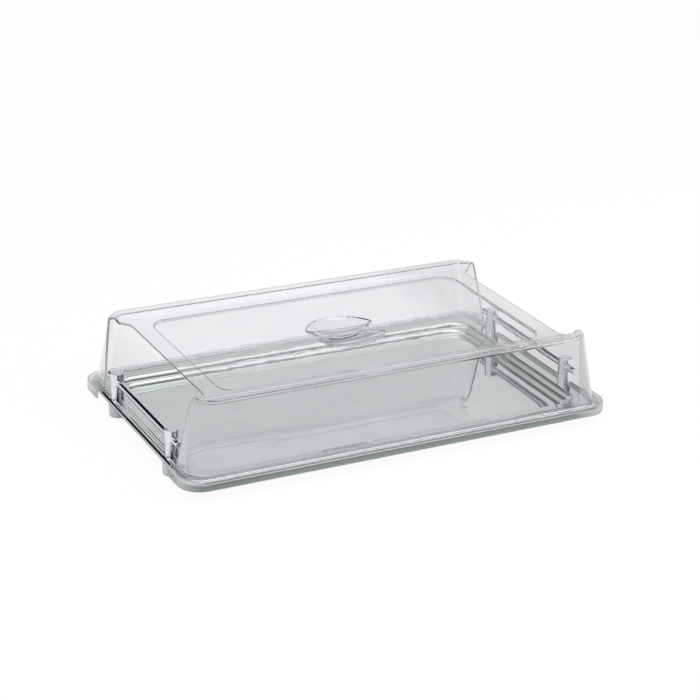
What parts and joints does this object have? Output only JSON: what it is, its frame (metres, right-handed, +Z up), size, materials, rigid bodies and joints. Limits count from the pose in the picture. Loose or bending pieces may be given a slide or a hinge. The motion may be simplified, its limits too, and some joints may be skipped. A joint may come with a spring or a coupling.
{
  "type": "gastronorm food cover and tray",
  "caption": "Clear lift-off food cover with open ends on a polished gastronorm display tray that stands on feet and has a bar handle at each end.",
  "frame": {"origin": "on the table, under the middle of the tray", "axes": "+X along the tray from the left handle to the right handle, +Y to the rear, +Z up"},
  "size_m": [0.5382, 0.3332, 0.1065],
  "materials": {
    "clear_plastic": "clear, glossy moulded plastic with a faint grey tint",
    "polished_stainless": "polished stainless steel, near mirror",
    "chrome": "bright chrome",
    "grey_plastic": "pale grey satin plastic",
    "fixing_steel": "plain stainless steel"
  },
  "bodies": {
    "base": {"tray": "polished_stainless", "handle_post_left_front": "chrome", "handle_post_left_rear": "chrome", "handle_post_right_front": "chrome", "handle_post_right_rear": "chrome", "handle_bar_left": "chrome", "handle_bar_right": "chrome", "foot_left_front": "grey_plastic", "foot_left_rear": "grey_plastic", "foot_right_front": "grey_plastic", "foot_right_rear": "grey_plastic", "foot_screws": "fixing_steel", "foot_washers": "fixing_steel", "bar_set_screws": "fixing_steel"},
    "cover": {"cover": "clear_plastic"}
  },
  "joints": [
    {"name": "cover_lift", "type": "slide", "parent": "base", "child": "cover", "axis": [0, 0, 1], "range_m": [0, 0.12]}
  ]
}
